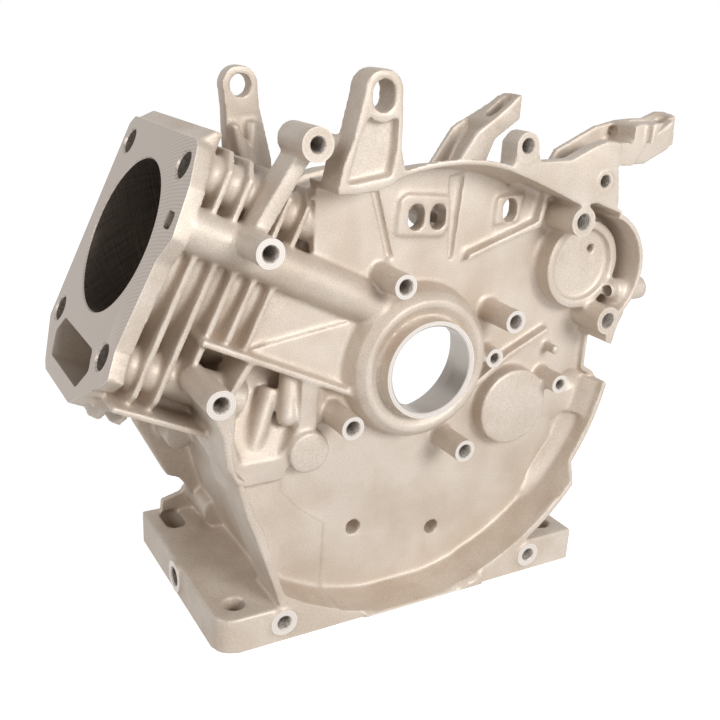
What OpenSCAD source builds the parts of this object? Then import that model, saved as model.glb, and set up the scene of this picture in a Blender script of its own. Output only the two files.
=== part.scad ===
// Single-cylinder engine crankcase with its cast-in cylinder liner.
// Frame: origin on the crankshaft axis at the face of the oil seal ring,
// X to the right, Y from the flywheel side to the open side, Z up.

/* [Crankshaft bore] */
// Bore that takes the crankshaft oil seal
seal_d = 46; // [42:0.5:49]
// Depth of the oil seal bore
seal_depth = 13; // [12:0.5:14]
// Outside of the machined ring around the seal
ring_d = 52; // [51:0.5:56]
// Bore that takes the main ball bearing
bearing_d = 62; // [56:1:66]
// Depth of the bearing bore behind the seal
bearing_depth = 17; // [14:1:19]
// Outside of the bearing housing inside the case
housing_d = 80; // [74:1:86]
// Outside of the raised hub on the flywheel side
hub_d = 82; // [74:1:86]
// How far the hub crest stands behind the ring face
hub_back = 5; // [3:0.5:7]

/* [Cylinder] */
// Cylinder bore, the inside of the liner
bore_d = 77; // [70:0.5:80]
// Wall of the cast-in liner
liner_wall = 2.5; // [2:0.25:3.5]
// Distance from the crankshaft axis to the head deck
deck_height = 150; // [146:1:154]
// Distance from the crankshaft axis to the lower end of the liner
liner_start = 48; // [44:1:56]
// Tilt of the cylinder above the horizontal
tilt = 25; // [22:1:28]
// Distance of the cylinder axis behind the ring face
cylinder_y = 70; // [68:1:72]
// Aluminium wall around the liner
barrel_wall = 5.5; // [4.5:0.5:7]
// Thickness of the head flange
deck_t = 8; // [6:0.5:10]
// Head bolt holes
head_bolt_d = 12.5; // [10:0.5:13]
// Spacing of the head bolts along the crankshaft
head_bolt_y = 80; // [78:0.5:82]
// Spacing of the head bolts across the crankshaft
head_bolt_v = 92; // [90:0.5:94]
// Offset of the head bolt pattern below the bore axis
head_bolt_drop = 4; // [2:0.5:6]
// Outside of the columns around the head bolts
bolt_column_d = 19; // [17:0.5:21]

/* [Cooling fins] */
// Number of fins below the head flange
fin_count = 5; // [3:1:5]
// Thickness of a fin
fin_t = 2.8; // [2:0.1:4]
// Distance from one fin to the next
fin_pitch = 10.4; // [9.5:0.1:10.8]
// Distance from the deck face to the middle of the first fin
fin_drop = 16; // [14:0.5:17]

/* [Flywheel side] */
// Front plane of the rim and the feet, ahead of the ring face
front_y = -4; // [-6:0.5:-2]
// Distance from the ring face back to the dish floor
floor_y = 19.5; // [17:0.5:21]
// Thickness of the dish floor
wall = 6; // [4.5:0.5:8]
// Inner radius of the rim along the bottom of the dish
rim_r = 131.3; // [130:0.1:132.5]
// Thickness of the rim
rim_t = 3.3; // [2.5:0.1:5]
// Pitch circle of the four stator bosses
stator_pcd = 103; // [101:0.5:105]
// Outside of the stator bosses
stator_boss_d = 12.4; // [12:0.2:15]
// Tapping hole in the stator bosses
stator_hole_d = 6.8; // [5:0.1:8]
// Depth of the tapped holes
tap_depth = 16; // [10:1:18]
// Outside of the long cover bosses beside the cylinder
cover_boss_d = 13.6; // [12:0.2:15]
// Tapping hole in the cover bosses
cover_hole_d = 6.8; // [5:0.1:8]

/* [Case] */
// Distance from the ring face back to the open side
rear_y = 114; // [111:1:117]
// Radius of the chamber around the crankshaft
chamber_r = 76; // [73:1:78]
// Radius of the chamber around the camshaft
cam_chamber_r = 52; // [49:1:54]
// Wall of the case
case_t = 6; // [5:0.5:8]
// Thickness of the cover flange at the open side
flange_t = 11; // [9:1:14]
// Width that the cover flange adds outside the case
flange_w = 8; // [5:0.5:9]
// Bore of the camshaft bearing
cam_bore_d = 16; // [12:1:20]

/* [Feet] */
// Height of the crankshaft axis above the mounting plane
crank_height = 133; // [131:0.5:136]
// Thickness of the feet
foot_t = 19.5; // [17:0.5:22]
// Left end of the base
base_left = -115.5; // [-118:0.5:-114]
// Right end of the base
base_right = 106; // [105:0.5:110]
// Rear edge of the base
base_rear = 119; // [117:1:121]
// Diameter of the mounting holes
foot_hole_d = 11; // [9:0.5:12]
// Spacing of the mounting holes from left to right
foot_hole_x = 195; // [193:0.5:197]
// Spacing of the mounting holes from front to rear
foot_hole_y = 93.5; // [92:0.5:95]

/* [Hidden] */
$fn = 64;
eps = 0.05;

liner_r = bore_d / 2 + liner_wall;
barrel_r = liner_r + barrel_wall;
inner_y = floor_y + wall;
base_z = -crank_height;
foot_z = base_z + foot_t;
cam_x = 64;
cam_z = -34;
deck_under = deck_height - deck_t;

// Centres and radii of the rim, the crown above the hub and the pocket around the starter cup
rim_x = -3.5;
rim_z = -1.5;
rim_out = rim_r + rim_t;
set_back = 10;
set_back_angle = 37.6;
crown_x = 6;
crown_z = -8;
crown_r = 110.8;
crown_draft = 6;
crown_t = 2.7;
pocket_x = 98.8;
pocket_z = 43;
pocket_r = 30.8;

// Places of the bosses, as X and Z, with the front face of the long ones
upper_boss = [-95.5, 70];
upper_boss_y = -13;
lower_boss = [-118.6, 6.3];
lower_boss_y = -16;
top_boss = [-70.3, 113.2];
arm_boss = [43, 110.8];
cover_bosses = [[84.8, 71.5], [111.9, 15.1]];
cover_tap_d = 8;
foot_pads = [[-81, -121.7], [73.7, -122.2]];
pad_y = front_y - 1.2;
stator_y = -4.7;
small_boss = [46.4, -2.6];
small_boss_y = 9;
side_boss = [88, -21];
side_boss_y = 1.6;
small_tap_d = 5;
flange_bolts = [[-58, 64], [2, 79], [60, 56], [116, -6], [110, -74], [76, -103], [-82, -104], [-103, -52]];

// Starter cup, steps and the recess under the cylinder
cup = [100, 44.5];
cup_y = 8.5;
cup_d = 49;
disc_d = 39.5;
disc_y = 12;
step_y = floor_y - 2;
floor_holes = [[-29.8, -92.4], [21.4, -104.3]];
floor_hole_depth = 12;
recess_y = 13;
recess_back = inner_y + 12;

// Oil passage and push rod passage beside the cylinder
bar_v = 18;
bar_y = 20;
bar_d = 21;
bar_start = 30;
gallery_start = 58;
passage_d = 8;
passage_start = 60;
rib_v = -28.2;
head_bolt_depth = 67;
deck_side = [[-74, -30], [-60.5, -51], [-55, -57.5], [-43, -52], [0, -54.5], [12, -61.5], [35, -56.5],
    [52, -47], [54, -43], [54.5, 46], [50, 50.5], [-57, 50.5], [-76, 30], [-79, 24], [-79, -24]];

// Lugs, arms and the rear ear
lug = [-38.8, 133.5];
lug_back = 11;
lug_hole_d = 11;
arm_back = 21;
arm_slot_d = 7;
arm_slot_y = 11.8;
rear_arm_y = 66;
rear_arm_depth = 27;
rear_slot_d = 8.6;
rear_slot_y = rear_arm_y + 9.6;
ear = [-71, 131];
ear_y = 80;
ear_t = 9;
side_lug = [6, 29];
side_lug_d = 6.5;

// Base, drain and mounting holes
foot_corner_r = 10;
foot_front_y = 10;
foot_mid_x = -4.5;
drain_y = 58;
drain_z = base_z + 11;
drain_d = 10;

// Points along an arc in the X-Z plane
function arc(x, z, r, a0, a1, n = 12) =
    [for (i = [0:n]) let (a = a0 + (a1 - a0) * i / n) [x + r * cos(a), z + r * sin(a)]];

// Extrudes an outline drawn in the X-Z plane from y0 to y1
module slab(y0, y1) {
    translate([0, y1, 0]) rotate([90, 0, 0]) linear_extrude(y1 - y0) children();
}

// Round bar along Y
module rod(x, z, y0, y1, d) {
    translate([x, y0, z]) rotate([-90, 0, 0]) cylinder(d = d, h = y1 - y0);
}

// Round bar between two points
module strut(p, q, d) {
    v = q - p;
    translate(p) rotate([0, acos(v[2] / norm(v)), atan2(v[1], v[0])]) cylinder(d = d, h = norm(v));
}

// Slot with round ends, upward from z, between two centres x0 and x1
module slot(x0, x1, y, z, d) {
    for (x = [x0, x1]) translate([x, y, z]) cylinder(d = d, h = 50);
    translate([x0, y - d / 2, z]) cube([x1 - x0, d, 50]);
}

// Sector of a large circle in the X-Z plane
module sector(x, z, a0, a1) {
    polygon([[x, z], [x + 170 * cos(a0), z + 170 * sin(a0)], [x + 170 * cos(a1), z + 170 * sin(a1)]]);
}

// Moves to the cylinder: local x is across it, y is along the crankshaft and z is outward
module along_cylinder() {
    translate([0, cylinder_y, 0]) rotate([0, tilt - 90, 0]) children();
}

// Repeats its children at the four head bolts, in the cylinder's own frame
module at_head_bolts() {
    for (v = [-1, 1], y = [-1, 1])
        translate([v * head_bolt_v / 2 - head_bolt_drop, y * head_bolt_y / 2, 0]) children();
}

// Repeats its children at the four stator bosses
module at_stator_bosses() {
    for (a = [25:90:295])
        translate([stator_pcd / 2 * cos(a), 0, stator_pcd / 2 * sin(a)]) children();
}

// Outline of the dish inside its rim
module dish_outline() {
    polygon(concat(
        arc(rim_x, rim_z, rim_r + 0.15, -125, -12, 24),
        [[118.1, -20.5], [117.8, -4], [117, 2], [117, 8]],
        arc(pocket_x, pocket_z, pocket_r, -48, 68, 12),
        [[109, 75.5], [92, 82.5], [84, 81.5], [54, 94.2]],
        arc(crown_x, crown_z, crown_r - crown_draft + 1.3, 64, 108, 10),
        [[-40, 90], [-59, 90], [-59, 60], [-34, 48], [-26, 26], [-92, 16],
         [-104, -10], [-108, -24], [-101, -41], [-97.8, -59.7], [-94.6, -67.6], [-84.4, -100.7]]));
}

// Thin cast wall that follows a stretch of an arc
module rim_band(x, z, r, a0, a1, t, y0, y1, n = 12) {
    slab(y0, y1) polygon(concat(arc(x, z, r, a0, a1, n), arc(x, z, r + t, a1, a0, n)));
}

// Sloped inner foot of the rim, from the rim at depth y0 to radius r1 at the floor
module rim_slope(a0, a1, y0, r1) {
    intersection() {
        translate([rim_x, 0, rim_z]) rotate([-90, 0, 0]) rotate_extrude($fn = 180)
            polygon([[rim_out - 1.5, y0], [rim_r - 0.1, y0], [r1, floor_y - 0.1], [r1, floor_y + 2],
                [rim_out - 1.5, floor_y + 2]]);
        slab(y0 - 1, floor_y + 3) sector(rim_x, rim_z, a0, a1);
    }
}

// Drafted cone of the crown, with radius r at its front edge
module crown_cone(r) {
    translate([crown_x, front_y, crown_z]) rotate([-90, 0, 0])
        cylinder(r1 = r, r2 = r - crown_draft, h = inner_y - front_y, $fn = 180);
}

// Dish floor, rim and the walls that close it
module dish() {
    slab(floor_y, inner_y) dish_outline();
    difference() {
        rim_band(rim_x, rim_z, rim_r, -127, -11, rim_t, front_y, inner_y, 26);
        translate([-200, front_y - 1, base_z - 20]) cube([400, 60, 20]);
        translate([rim_x, front_y, rim_z]) rotate([0, set_back_angle, 0]) translate([100, 0, 0])
            rotate([90, 0, 90]) linear_extrude(60)
                polygon([[-1, -1.08], [set_back, 1.08 * set_back], [set_back, 90], [-16, 90], [-16, -1.08]]);
    }
    for (a = [[-126, -110.2], [-70.7, -42.6]])
        rim_band(rim_x, rim_z, rim_r - 1, a[0], a[1], 2, front_y, inner_y - 1, 6);
    rim_slope(-23.6, -11.4, 9.4, 124.6);
    rim_slope(-47, -23.4, 16, 127.6);
    slab(16, inner_y) polygon([[115.5, 3.5], [115.5, -19], [116.5, -21.5], [124.5, -26], [127.5, -26.6],
        [126.5, -23.8], [118.4, -19], [118.4, 3.5]]);
    rim_band(pocket_x, pocket_z, pocket_r, -50, 70, 2.8, front_y, inner_y);
    intersection() {
        difference() {
            crown_cone(crown_r + crown_t);
            crown_cone(crown_r);
        }
        slab(front_y, inner_y) polygon([[0, 0], [-47, 104], [0, 160], [60, 106]]);
    }
    slab(front_y, inner_y) polygon([[-59, 91], [-40, 92], [-30, 95.5], [-32, 99], [-42, 95], [-60, 94.5]]);
    slab(front_y, inner_y) polygon([[52, 92.5], [84, 79.5], [92, 81], [111, 74.2], [111.8, 75.7],
        [92, 84.8], [52, 96]]);
    slab(front_y, inner_y) polygon([[119.5, 20.5], [112, 9], [112, 3], [117.5, 0.5], [119.5, 11.5],
        [123.5, 19]]);
    slab(front_y, inner_y) polygon([[-107.5, -34], [-101, -45], [-97, -58.5], [-92.5, -67.5],
        [-82.5, -100.7], [-79, -109.5], [-82.5, -113.5], [-86.5, -101], [-97.6, -68], [-101, -59],
        [-105.5, -43], [-111.5, -34]]);
}

// Raised hub that carries the oil seal ring
module hub() {
    translate([0, inner_y, 0]) rotate([90, 0, 0]) rotate_extrude()
        polygon([[20, -1], [hub_d / 2, -1], [hub_d / 2, 10], [hub_d / 2 - 2, inner_y - hub_back - 4],
            [hub_d / 2 - 6, inner_y - hub_back], [hub_d / 2 - 9, inner_y - hub_back],
            [ring_d / 2, inner_y - hub_back - 4], [ring_d / 2, inner_y], [20, inner_y]]);
}

// Stator bosses, cover bosses and pads that face the flywheel
module front_bosses() {
    at_stator_bosses() rod(0, 0, stator_y, floor_y + 1, stator_boss_d);
    rod(upper_boss[0], upper_boss[1], upper_boss_y, 26, cover_boss_d);
    rod(lower_boss[0], lower_boss[1], lower_boss_y, 40, cover_boss_d);
    rod(top_boss[0], top_boss[1], front_y, 22, 15.5);
    rod(-54, 110, 9, 22, 11);
    rod(arm_boss[0], arm_boss[1], front_y, 8, 13.5);
    slab(front_y, 9) polygon([[36.2, 98.2], [36.2, 112.4], [49.8, 112.4], [50.3, 93.2]]);
    for (p = cover_bosses) rod(p[0], p[1], front_y, inner_y, 15.5);
    for (p = foot_pads) rod(p[0], p[1], pad_y, 30, 14);
    rod(small_boss[0], small_boss[1], small_boss_y, inner_y, 11);
    rod(side_boss[0], side_boss[1], side_boss_y, inner_y, 11);
    rod(90, -4, 10, inner_y, 5);
}

// Camshaft disc, plug disc, starter cup, ribs and steps on the dish floor
module floor_details() {
    rod(cam_x, cam_z, 10, inner_y - 1, 44);
    rod(-62, -38.5, 10, inner_y - 1, 22);
    difference() {
        intersection() {
            rod(cup[0], cup[1], cup_y, inner_y - 1, cup_d);
            slab(0, inner_y) dish_outline();
        }
        rod(cup[0], cup[1], 0, disc_y, disc_d);
    }
    slab(step_y, inner_y - 1) polygon([[-15, 66], [12, 64], [16, 69], [15, 84], [-10, 86], [-14, 83]]);
    slab(step_y, inner_y - 1) polygon([[44, 68], [59, 69], [62, 83], [45, 82]]);
    slab(step_y, inner_y - 1) intersection() {
        polygon([[-99, -49], [-75, -50], [-74, -61], [-64, -73], [-49, -85], [-50, -128], [-90, -128]]);
        dish_outline();
    }
    slab(14, inner_y - 1) polygon([[26, 51], [28, 54.5], [70, 69], [73, 84], [76.5, 83], [72.5, 66]]);
    slab(14, inner_y - 1) polygon([[36, -19], [60, -3], [86, 9], [87.5, 6], [61, -6.5], [38, -22]]);
}

// Block behind the recess under the cylinder, with the lip along its lower edge
module recess_block() {
    intersection() {
        slab(recess_y, recess_back) polygon([[-103, -57], [-78, -58], [-71, -42], [-57, -27], [-56.6, -3],
            [-92.8, 13.9], [-109, -10], [-106, -32]]);
        translate([-120, 0, 0]) rotate([90, 0, 90]) linear_extrude(70)
            polygon([[recess_y - 1, -40], [recess_y - 1, -51], [floor_y + 1, -55], [recess_back + 1, -55],
                [recess_back + 1, 20], [recess_y - 1, 20]]);
    }
}

// Room of the recess, in front of its slope
module recess() {
    intersection() {
        slab(-1, recess_back + 1) polygon([[-97, -41.5], [-79.5, -41.5], [-73, -33], [-67, -24],
            [-66, 0.8], [-90, 12], [-104.5, -9.5], [-101.5, -24]]);
        translate([-120, 0, 0]) rotate([90, 0, 90]) linear_extrude(70)
            polygon([[-2, -39.6], [recess_y + 0.3, -39.6], [recess_y + 20, -10], [recess_y + 22, 16],
                [-2, 16]]);
    }
}

// Two rounded ridges that run up the slope, and the round end of the right one
module pillars() {
    strut([-76.4, 27.3, -7.6], [-91.3, 19.4, -41.2], 10);
    strut([-67.5, 24, 4], [-71.5, 18, -20], 10);
    translate([-71.5, 18, -20]) sphere(d = 10.4);
    strut([-56, 26.5, -3.6], [-60.5, 25, -26], 21);
}

// Pockets in the dish floor
module floor_recesses() {
    intersection() {
        slab(0, floor_y + 3.5) polygon([[101.3, -52], [108, -48], [116, -48], [124, -54], [130, -60],
            [127, -76], [106, -99], [88, -110], [79.2, -103], [80, -98.9], [93.2, -73.9], [102.1, -62.5]]);
        translate([rim_x, 0, rim_z]) rotate([-90, 0, 0]) rotate_extrude($fn = 180)
            polygon([[0, -5], [rim_r - 0.5, -5], [rim_r - 0.5, 15.9], [rim_r - 8, 23.4], [0, 23.4]]);
    }
    translate([110, floor_y - 4.5, -28]) sphere(r = 8);
    slab(0, floor_y + 3) polygon([[-30, 90], [-26, 90], [-15, 54], [-18.5, 54]]);
    slab(0, floor_y + 3) polygon([[15, 94], [24, 95], [20.5, 51], [18.5, 51]]);
    for (p = floor_holes) rod(p[0], p[1], 0, floor_y + floor_hole_depth, 8.5);
}

// Oil passage that runs along the cylinder, with the ribs beside it
module oil_passage() {
    along_cylinder() {
        translate([bar_v, bar_y - cylinder_y, bar_start]) {
            cylinder(d = bar_d, h = deck_under - bar_start + 1);
            sphere(d = bar_d + 2);
        }
        translate([rib_v, 12 - cylinder_y, 26]) cube([3.2, 30, 90]);
        translate([rib_v + 2, 22.5 - cylinder_y, 28]) cube([bar_v - rib_v, 8, 63]);
    }
    slab(5, 22) polygon([[-66, 110], [-72, 107], [-75, 109], [-94.5, 78.5], [-90, 72]]);
    slab(-8, 40) polygon([[-121, 0], [-113, 4], [-107.5, 4], [-109.8, -23], [-107.5, -34], [-103, -38],
        [-106.5, -40], [-112.6, -29], [-114.5, -14]]);
}

// Outline of one fin, from its lower edge v0 up
module fin_outline(v0) {
    polygon([[v0, -50], [v0 + 5, -54], [48, -54], [56, -46], [56, 43], [50, 49], [v0 + 6, 49], [v0, 43]]);
}

// Barrel, head flange, bolt columns and fins
module barrel() {
    along_cylinder() {
        translate([0, 0, 42]) cylinder(r = barrel_r, h = deck_under - 41);
        translate([0, 0, deck_under]) linear_extrude(deck_t) polygon(deck_side);
        translate([0, 46, 0]) rotate([90, 0, 0]) linear_extrude(88)
            polygon([[50, deck_height - 1], [54, deck_height - 1], [61, deck_under + 1],
                [61, deck_under - 3], [50, deck_under - 3]]);
        translate([0, 0, deck_height - head_bolt_depth - 5]) at_head_bolts()
            cylinder(d = bolt_column_d, h = head_bolt_depth + 4 - deck_t / 2);
        for (i = [0:fin_count - 1])
            translate([0, 0, deck_height - fin_drop - i * fin_pitch - fin_t / 2])
                linear_extrude(fin_t) fin_outline(i < 2 ? -65 : i == 2 ? -44 : -28);
    }
}

// Box around the push rods, and the thin web under the fins
module gallery() {
    along_cylinder() {
        translate([-75, -35, 66]) cube([27, 70, deck_under - 65]);
        translate([-68.5, 12 - cylinder_y, 89]) cube([3, 60, deck_under - 88]);
        for (i = [0:1])
            translate([0, 0, deck_height - fin_drop - i * fin_pitch - fin_t / 2]) linear_extrude(fin_t)
                polygon([[-70, -31], [-78, -29], [-83, -24], [-85, -15], [-84, 24], [-76, 34], [-70, 36]]);
    }
}

// Case around the crank chamber, drawn in the X-Z plane
module case_outline() {
    polygon(concat(
        arc(0, 0, chamber_r + case_t, 140, 4, 20),
        arc(cam_x, cam_z, cam_chamber_r + case_t, 34, -74, 14),
        [[77, foot_z - 2], [-77, foot_z - 2], [-84, -98], [-92.6, -67], [-97, -52], [-101, -41],
         [-108, -23], [-104, -10], [-86, 14]]));
}

// Inside of the case
module chamber_outline() {
    polygon(concat(
        arc(0, 0, chamber_r, 140, 4, 20),
        arc(cam_x, cam_z, cam_chamber_r, 34, -72, 14),
        [[70, base_z + 8], [-70, base_z + 8], [-78, -98], [-86.6, -66], [-91, -50], [-95, -38],
         [-100, -22], [-90, 0], [-78, 24]]));
}

// Flange around the open side, wider towards the left
module cover_flange() {
    slab(rear_y - flange_t, rear_y) polygon(concat(
        arc(0, 0, chamber_r + case_t + flange_w - 4, 138, 8, 20),
        arc(cam_x, cam_z, cam_chamber_r + case_t + flange_w, 34, -70, 14),
        [[88, foot_z - 2], [-86, foot_z - 2], [-88, -104], [-92, -96], [-98, -88], [-105, -85],
          [-122, -51], [-118, -30], [-110, -8], [-90, 20]]));
    slab(rear_y - 2.5, rear_y + 2) polygon([[-84, foot_z - 2], [-106.5, foot_z - 2], [-105.5, -105.5],
        [-94, -102.5], [-90, -95.5], [-84, -94]]);
}

// Camshaft bearing, lifter bosses and bolt bosses inside the case
module inner_bosses() {
    rod(0, 0, inner_y - 1, seal_depth + bearing_depth, housing_d);
    rod(cam_x, cam_z, inner_y - 1, inner_y + 16, cam_bore_d + 14);
    for (p = flange_bolts) rod(p[0], p[1], rear_y - 30, rear_y - 0.5, 17);
    for (p = floor_holes) rod(p[0], p[1], inner_y - 1, floor_y + floor_hole_depth + 3, 15);
}

// Neck and lug at the top left, with its recessed web
module top_lug() {
    slab(front_y, lug_back) {
        for (z = [-1.5, 1.5]) translate([lug[0], lug[1] + z]) circle(r = 9.8);
        polygon([[-48.6, 134], [-51, 124], [-53, 115], [-50, 115], [-46, 124.5], [-31, 124], [-31, 112],
            [-28, 110], [-28.5, 122], [-29, 134]]);
    }
    slab(1, lug_back) polygon([[-47, 130], [-53, 115], [-57, 106], [-59.5, 93], [-24, 97], [-28, 111],
        [-30, 130]]);
    slab(front_y, lug_back + 3) polygon([[-60, 91.5], [-57.5, 104], [-53, 115], [-50, 115], [-55, 95.5],
        [-33, 99], [-31, 112], [-28, 110], [-25, 98.5], [-42, 92.5]]);
}

// Bracket plate at the top right with the curved arm
module front_arm() {
    slab(front_y, 4) polygon([[37, 104], [36.5, 112], [49.5, 112], [52, 103], [72, 103.5], [87, 110],
        [96, 112.5], [102, 111.5], [103.5, 100], [105, 96], [108, 79], [92, 81], [84, 79], [52, 93]]);
    difference() {
        slab(front_y, arm_back) polygon([[66, 93], [76, 98.5], [80, 105.5], [105, 117], [120, 120.3],
            [132, 121], [118, 98.5], [104, 99], [92, 92]]);
        slab(-10, arm_back - 3.5) polygon([[60, 101], [72, 103.5], [87, 110], [96, 112.3], [102, 111.4],
            [116, 110.5], [116, 130], [60, 130]]);
        slab(4, arm_back - 3.5) polygon([[70, 99], [70, 115], [112, 115], [112, 106], [98, 103], [88, 98]]);
        translate([104.5, front_y - 1, 90]) cube([20, 5, 40]);
    }
    slab(2, 18) polygon([[112, 98.8], [112, 110.5], [116, 110.5], [129, 113], [138, 117.5], [145, 121.8],
        [146, 121], [145.5, 108], [143.5, 106], [128, 99]]);
    slab(7, 18.2) polygon([[138, 103], [138.5, 117.2], [146, 122.3], [151.5, 123.8], [152.5, 108],
        [145, 105]]);
    slab(17.2, arm_back) polygon([[112, 99.5], [112, 118], [120, 120.2], [133, 121], [139, 121.2],
        [148, 124.6], [155, 124.4], [156, 109], [148, 106.5], [130, 99]]);
    slab(12.1, 17.6) polygon([[149, 107], [149.5, 124], [155, 124], [155.5, 109.5]]);
}

// Straight slotted arm behind the bracket plate
module rear_arm() {
    difference() {
        intersection() {
            slab(rear_arm_y, rear_arm_y + rear_arm_depth)
                polygon([[36, 60], [42, 80], [50, 88], [64, 108.5], [76, 116.5], [84, 122.4], [91, 128.6],
                    [94, 129.2], [94.3, 116.5], [91.4, 114.6], [76.9, 104.7], [71.6, 92], [66, 54]]);
            translate([0, rear_arm_y, 0]) linear_extrude(200)
                polygon([[30, -1], [92.5, -1], [94.2, 8], [93.5, 14], [90, 18.3], [76.7, 24], [66, 28],
                    [30, 28]]);
        }
        slab(rear_arm_y + 3.5, rear_arm_y + rear_arm_depth - 3.5)
            polygon([[50, 82], [40, 92], [60, 118], [73, 123], [73, 108], [66, 98], [60, 84]]);
    }
}

// Slots for the control screws and the tapped hole in the curved arm
module arm_slots() {
    slot(125, 145, arm_slot_y, 90, arm_slot_d);
    slot(81, 86.8, rear_slot_y, 90, rear_slot_d);
    rod(116.3, 114.7, 14, 20, small_tap_d);
}

// Ear at the rear of the cylinder, with its rib and peg
module rear_ear() {
    slab(ear_y, ear_y + ear_t) {
        translate(ear) circle(r = 9.4);
        polygon([[-80.3, 132], [-79, 120], [-77, 84], [-50, 70], [-54, 96], [-61, 122], [-61.7, 132]]);
    }
    slab(ear_y - 7, ear_y + 1) polygon([[-78, 113], [-74.5, 113], [-64, 92], [-72, 88]]);
    translate([-66, ear_y - 2, 86]) cylinder(d = 6.5, h = 28);
    along_cylinder() translate([38, -24, 66]) cylinder(d1 = 22, d2 = 12, h = 16);
}

// Outside lug on the right wall, with a tapped hole along X
module right_lug() {
    translate([120, side_lug[0], side_lug[1]]) rotate([0, 90, 0]) cylinder(d = 2 * side_lug_d, h = 22);
}

// Base with its feet, cut out where the dish reaches down into it
module base() {
    difference() {
        union() {
            translate([0, 0, base_z]) linear_extrude(foot_t) polygon(concat(
                arc(base_left + foot_corner_r, front_y + foot_corner_r, foot_corner_r, 180, 270, 6),
                [[base_right, front_y], [base_right, base_rear], [base_left, base_rear]]));
            translate([-34, front_y - 2.3, base_z]) cube([76, 6, foot_t]);
        }
        slab(front_y - 5, floor_y + 1) difference() {
            translate([rim_x, rim_z]) circle(r = rim_r + rim_t / 2, $fn = 180);
            polygon([[-140, -140], [-100, -60], [-94.6, -67.6], [-84.4, -100.7], [-76.5, -107],
                [-74, -140]]);
            translate([-60, base_z - 5]) square([120, 6.5]);
        }
        translate([-70, 30, base_z - 1]) cube([138, base_rear, 4]);
    }
    translate([base_left - 1.5, drain_y, drain_z]) rotate([0, 90, 0]) cylinder(d = 17, h = 10);
}

// Mounting holes, round at the front and slotted at the rear
module foot_holes() {
    for (s = [-1, 1]) translate([foot_mid_x + s * foot_hole_x / 2, foot_front_y, base_z - 1]) {
        cylinder(d = foot_hole_d, h = foot_t + 2);
        translate([0, foot_hole_y, 0]) {
            for (y = [-5, 5]) translate([0, y, 0]) cylinder(d = foot_hole_d, h = foot_t + 2);
            translate([-foot_hole_d / 2, -5, 0]) cube([foot_hole_d, 10, foot_t + 2]);
        }
    }
}

// Window through the dish floor, w wide
module window(x, z, w) {
    slab(step_y - 1, inner_y + 1) polygon(concat(
        arc(x, z + 2, w / 2, 0, 180, 8), arc(x, z - 2, w / 2, 180, 360, 8)));
}

// Everything that is bored, drilled or left hollow
module machined_holes() {
    rod(0, 0, -1, seal_depth + eps, seal_d);
    rod(0, 0, seal_depth, seal_depth + bearing_depth + 5, bearing_d);
    at_stator_bosses() rod(0, 0, stator_y - 1, stator_y + tap_depth, stator_hole_d);
    rod(upper_boss[0], upper_boss[1], upper_boss_y - 1, upper_boss_y + tap_depth, cover_hole_d);
    rod(lower_boss[0], lower_boss[1], lower_boss_y - 1, lower_boss_y + tap_depth, cover_hole_d);
    rod(top_boss[0], top_boss[1], front_y - 1, front_y + tap_depth, cover_hole_d);
    rod(arm_boss[0], arm_boss[1], front_y - 1, 12, cover_hole_d);
    for (p = cover_bosses) rod(p[0], p[1], front_y - 1, front_y + tap_depth, cover_tap_d);
    for (p = foot_pads) rod(p[0], p[1], pad_y - 1, pad_y + tap_depth, cover_hole_d);
    rod(small_boss[0], small_boss[1], small_boss_y - 1, small_boss_y + 9, small_tap_d);
    rod(side_boss[0], side_boss[1], side_boss_y - 1, side_boss_y + 10, small_tap_d);
    rod(96, 92, front_y - 1, 5, 6);
    rod(ear[0], ear[1], ear_y - 1, ear_y + ear_t + 1, lug_hole_d);
    for (z = [-1.5, 1.5]) rod(lug[0], lug[1] + z, front_y - 1, lug_back + 1, lug_hole_d);
    rod(cup[0] + 7.5, cup[1] + 8, cup_y, inner_y + 1, 4.5);
    translate([base_left - 3, drain_y, drain_z]) rotate([0, 90, 0]) cylinder(d = drain_d, h = 60);
    translate([118, side_lug[0], side_lug[1]]) rotate([0, 90, 0]) cylinder(d = side_lug_d, h = 30);
    rod(cam_x, cam_z, inner_y + 2, inner_y + 17, cam_bore_d);
    for (p = flange_bolts) rod(p[0], p[1], rear_y - 24, rear_y + 1, cover_hole_d);
    foot_holes();
    window(-4, 74.5, 9);
    window(8.8, 74, 9);
    window(53.5, 75, 8.5);
    arm_slots();
    floor_recesses();
    along_cylinder() {
        translate([0, 0, 20]) cylinder(r = liner_r, h = deck_height);
        translate([0, 0, deck_height - head_bolt_depth]) at_head_bolts()
            cylinder(d = head_bolt_d, h = head_bolt_depth + 3);
        for (s = [-0.5, 0.5]) translate([bar_v + s * passage_d, bar_y - cylinder_y, passage_start])
            cylinder(d = passage_d, h = deck_height - passage_start + 1);
        translate([bar_v - passage_d / 2, bar_y - cylinder_y - passage_d / 2, passage_start])
            cube([passage_d, passage_d, deck_height - passage_start + 1]);
        translate([0, 0, gallery_start]) linear_extrude(deck_height - gallery_start + 1)
            polygon([[-51, 26], [-51, -26], [-60, -32], [-71, -24.5], [-71, 24.5], [-60, 32]]);
        translate([-68, -48.5, deck_under - 0.1]) cube([5, 7, deck_t + 1]);
    }
}

// The casting with all its bosses, ribs, fins and feet
module crankcase() {
    color("#CDC1B3") difference() {
        union() {
            difference() {
                union() {
                    difference() {
                        union() {
                            slab(inner_y - 4, rear_y) case_outline();
                            cover_flange();
                            base();
                        }
                        slab(inner_y, rear_y + 10) chamber_outline();
                    }
                    dish();
                    recess_block();
                }
                recess();
            }
            pillars();
            difference() {
                barrel();
                slab(inner_y, rear_y - 10) polygon(arc(0, 0, chamber_r - 14, 90, 270, 16));
            }
            gallery();
            inner_bosses();
            hub();
            front_bosses();
            floor_details();
            oil_passage();
            top_lug();
            front_arm();
            rear_arm();
            rear_ear();
            right_lug();
        }
        machined_holes();
    }
}

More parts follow.
